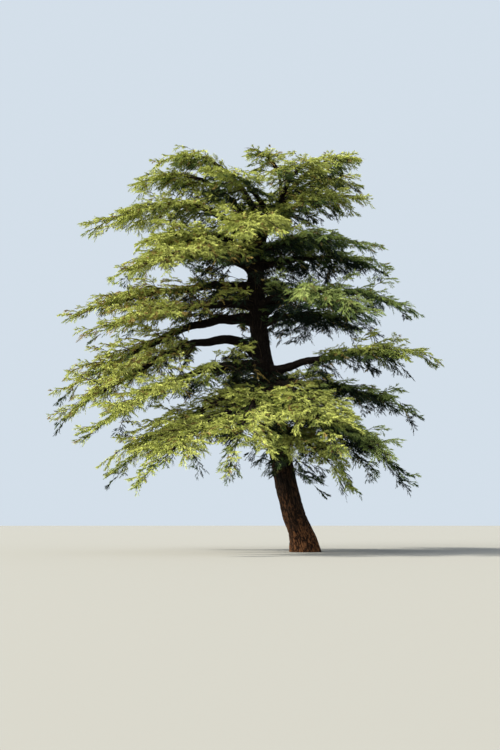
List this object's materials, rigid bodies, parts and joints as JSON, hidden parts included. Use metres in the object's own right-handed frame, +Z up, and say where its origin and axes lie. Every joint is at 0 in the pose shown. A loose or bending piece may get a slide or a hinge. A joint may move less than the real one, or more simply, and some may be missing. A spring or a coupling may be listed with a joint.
{
  "type": "atlas cedar tree",
  "caption": "Old atlas cedar: a leaning trunk with a flared foot carries long arched boughs in tiers, each ending in a flat drooping plate of needles.",
  "frame": {"origin": "middle of the flat cut under the trunk, at ground level", "axes": "+Z straight up, +X towards the side that the trunk leans away from, +Y away from the side with the open view of the trunk"},
  "size_m": [21.4381, 19.5415, 22.5438],
  "materials": {
    "bark": "rough furrowed bark, grey-brown with warmer orange-brown plates",
    "needles": "matt grey-green to yellow-green needles"
  },
  "bodies": {
    "root": {"trunk": "bark", "bough_left_high": "bark", "bough_left_front_high": "bark", "bough_left_front_mid": "bark", "bough_left_mid": "bark", "bough_left_spur": "bark", "bough_left_low_mid": "bark", "bough_left_low": "bark", "bough_left_low_front": "bark", "bough_left_skirt_front": "bark", "bough_left_skirt_back": "bark", "bough_front_low": "bark", "bough_front_low_right": "bark", "bough_right_high_back": "bark", "bough_right_mid": "bark", "bough_right_mid_front": "bark", "bough_right_low_front": "bark", "bough_right_low": "bark", "bough_right_skirt_front": "bark", "bough_right_skirt_back": "bark", "bough_back_high_left": "bark", "bough_back_mid": "bark", "bough_back_mid_right": "bark", "bough_back_low": "bark", "foliage_top": "needles", "foliage_left_crown": "needles", "foliage_left_upper": "needles", "foliage_left_high": "needles", "foliage_left_front_high": "needles", "foliage_left_front_mid": "needles", "foliage_left_mid": "needles", "foliage_left_spur": "needles", "foliage_left_low_mid": "needles", "foliage_left_low": "needles", "foliage_left_low_front": "needles", "foliage_left_skirt_front": "needles", "foliage_left_skirt_back": "needles", "foliage_front_crown_left": "needles", "foliage_front_crown_right": "needles", "foliage_front_high": "needles", "foliage_front_low": "needles", "foliage_front_low_right": "needles", "foliage_front_skirt": "needles", "foliage_right_crown": "needles", "foliage_right_upper": "needles", "foliage_right_upper_front": "needles", "foliage_right_high": "needles", "foliage_right_high_back": "needles", "foliage_right_mid": "needles", "foliage_right_mid_front": "needles", "foliage_right_low_front": "needles", "foliage_right_low": "needles", "foliage_right_skirt_front": "needles", "foliage_right_skirt_back": "needles", "foliage_back_crown": "needles", "foliage_back_high_left": "needles", "foliage_back_high_right": "needles", "foliage_back_mid": "needles", "foliage_back_mid_right": "needles", "foliage_back_low": "needles"}
  },
  "joints": []
}
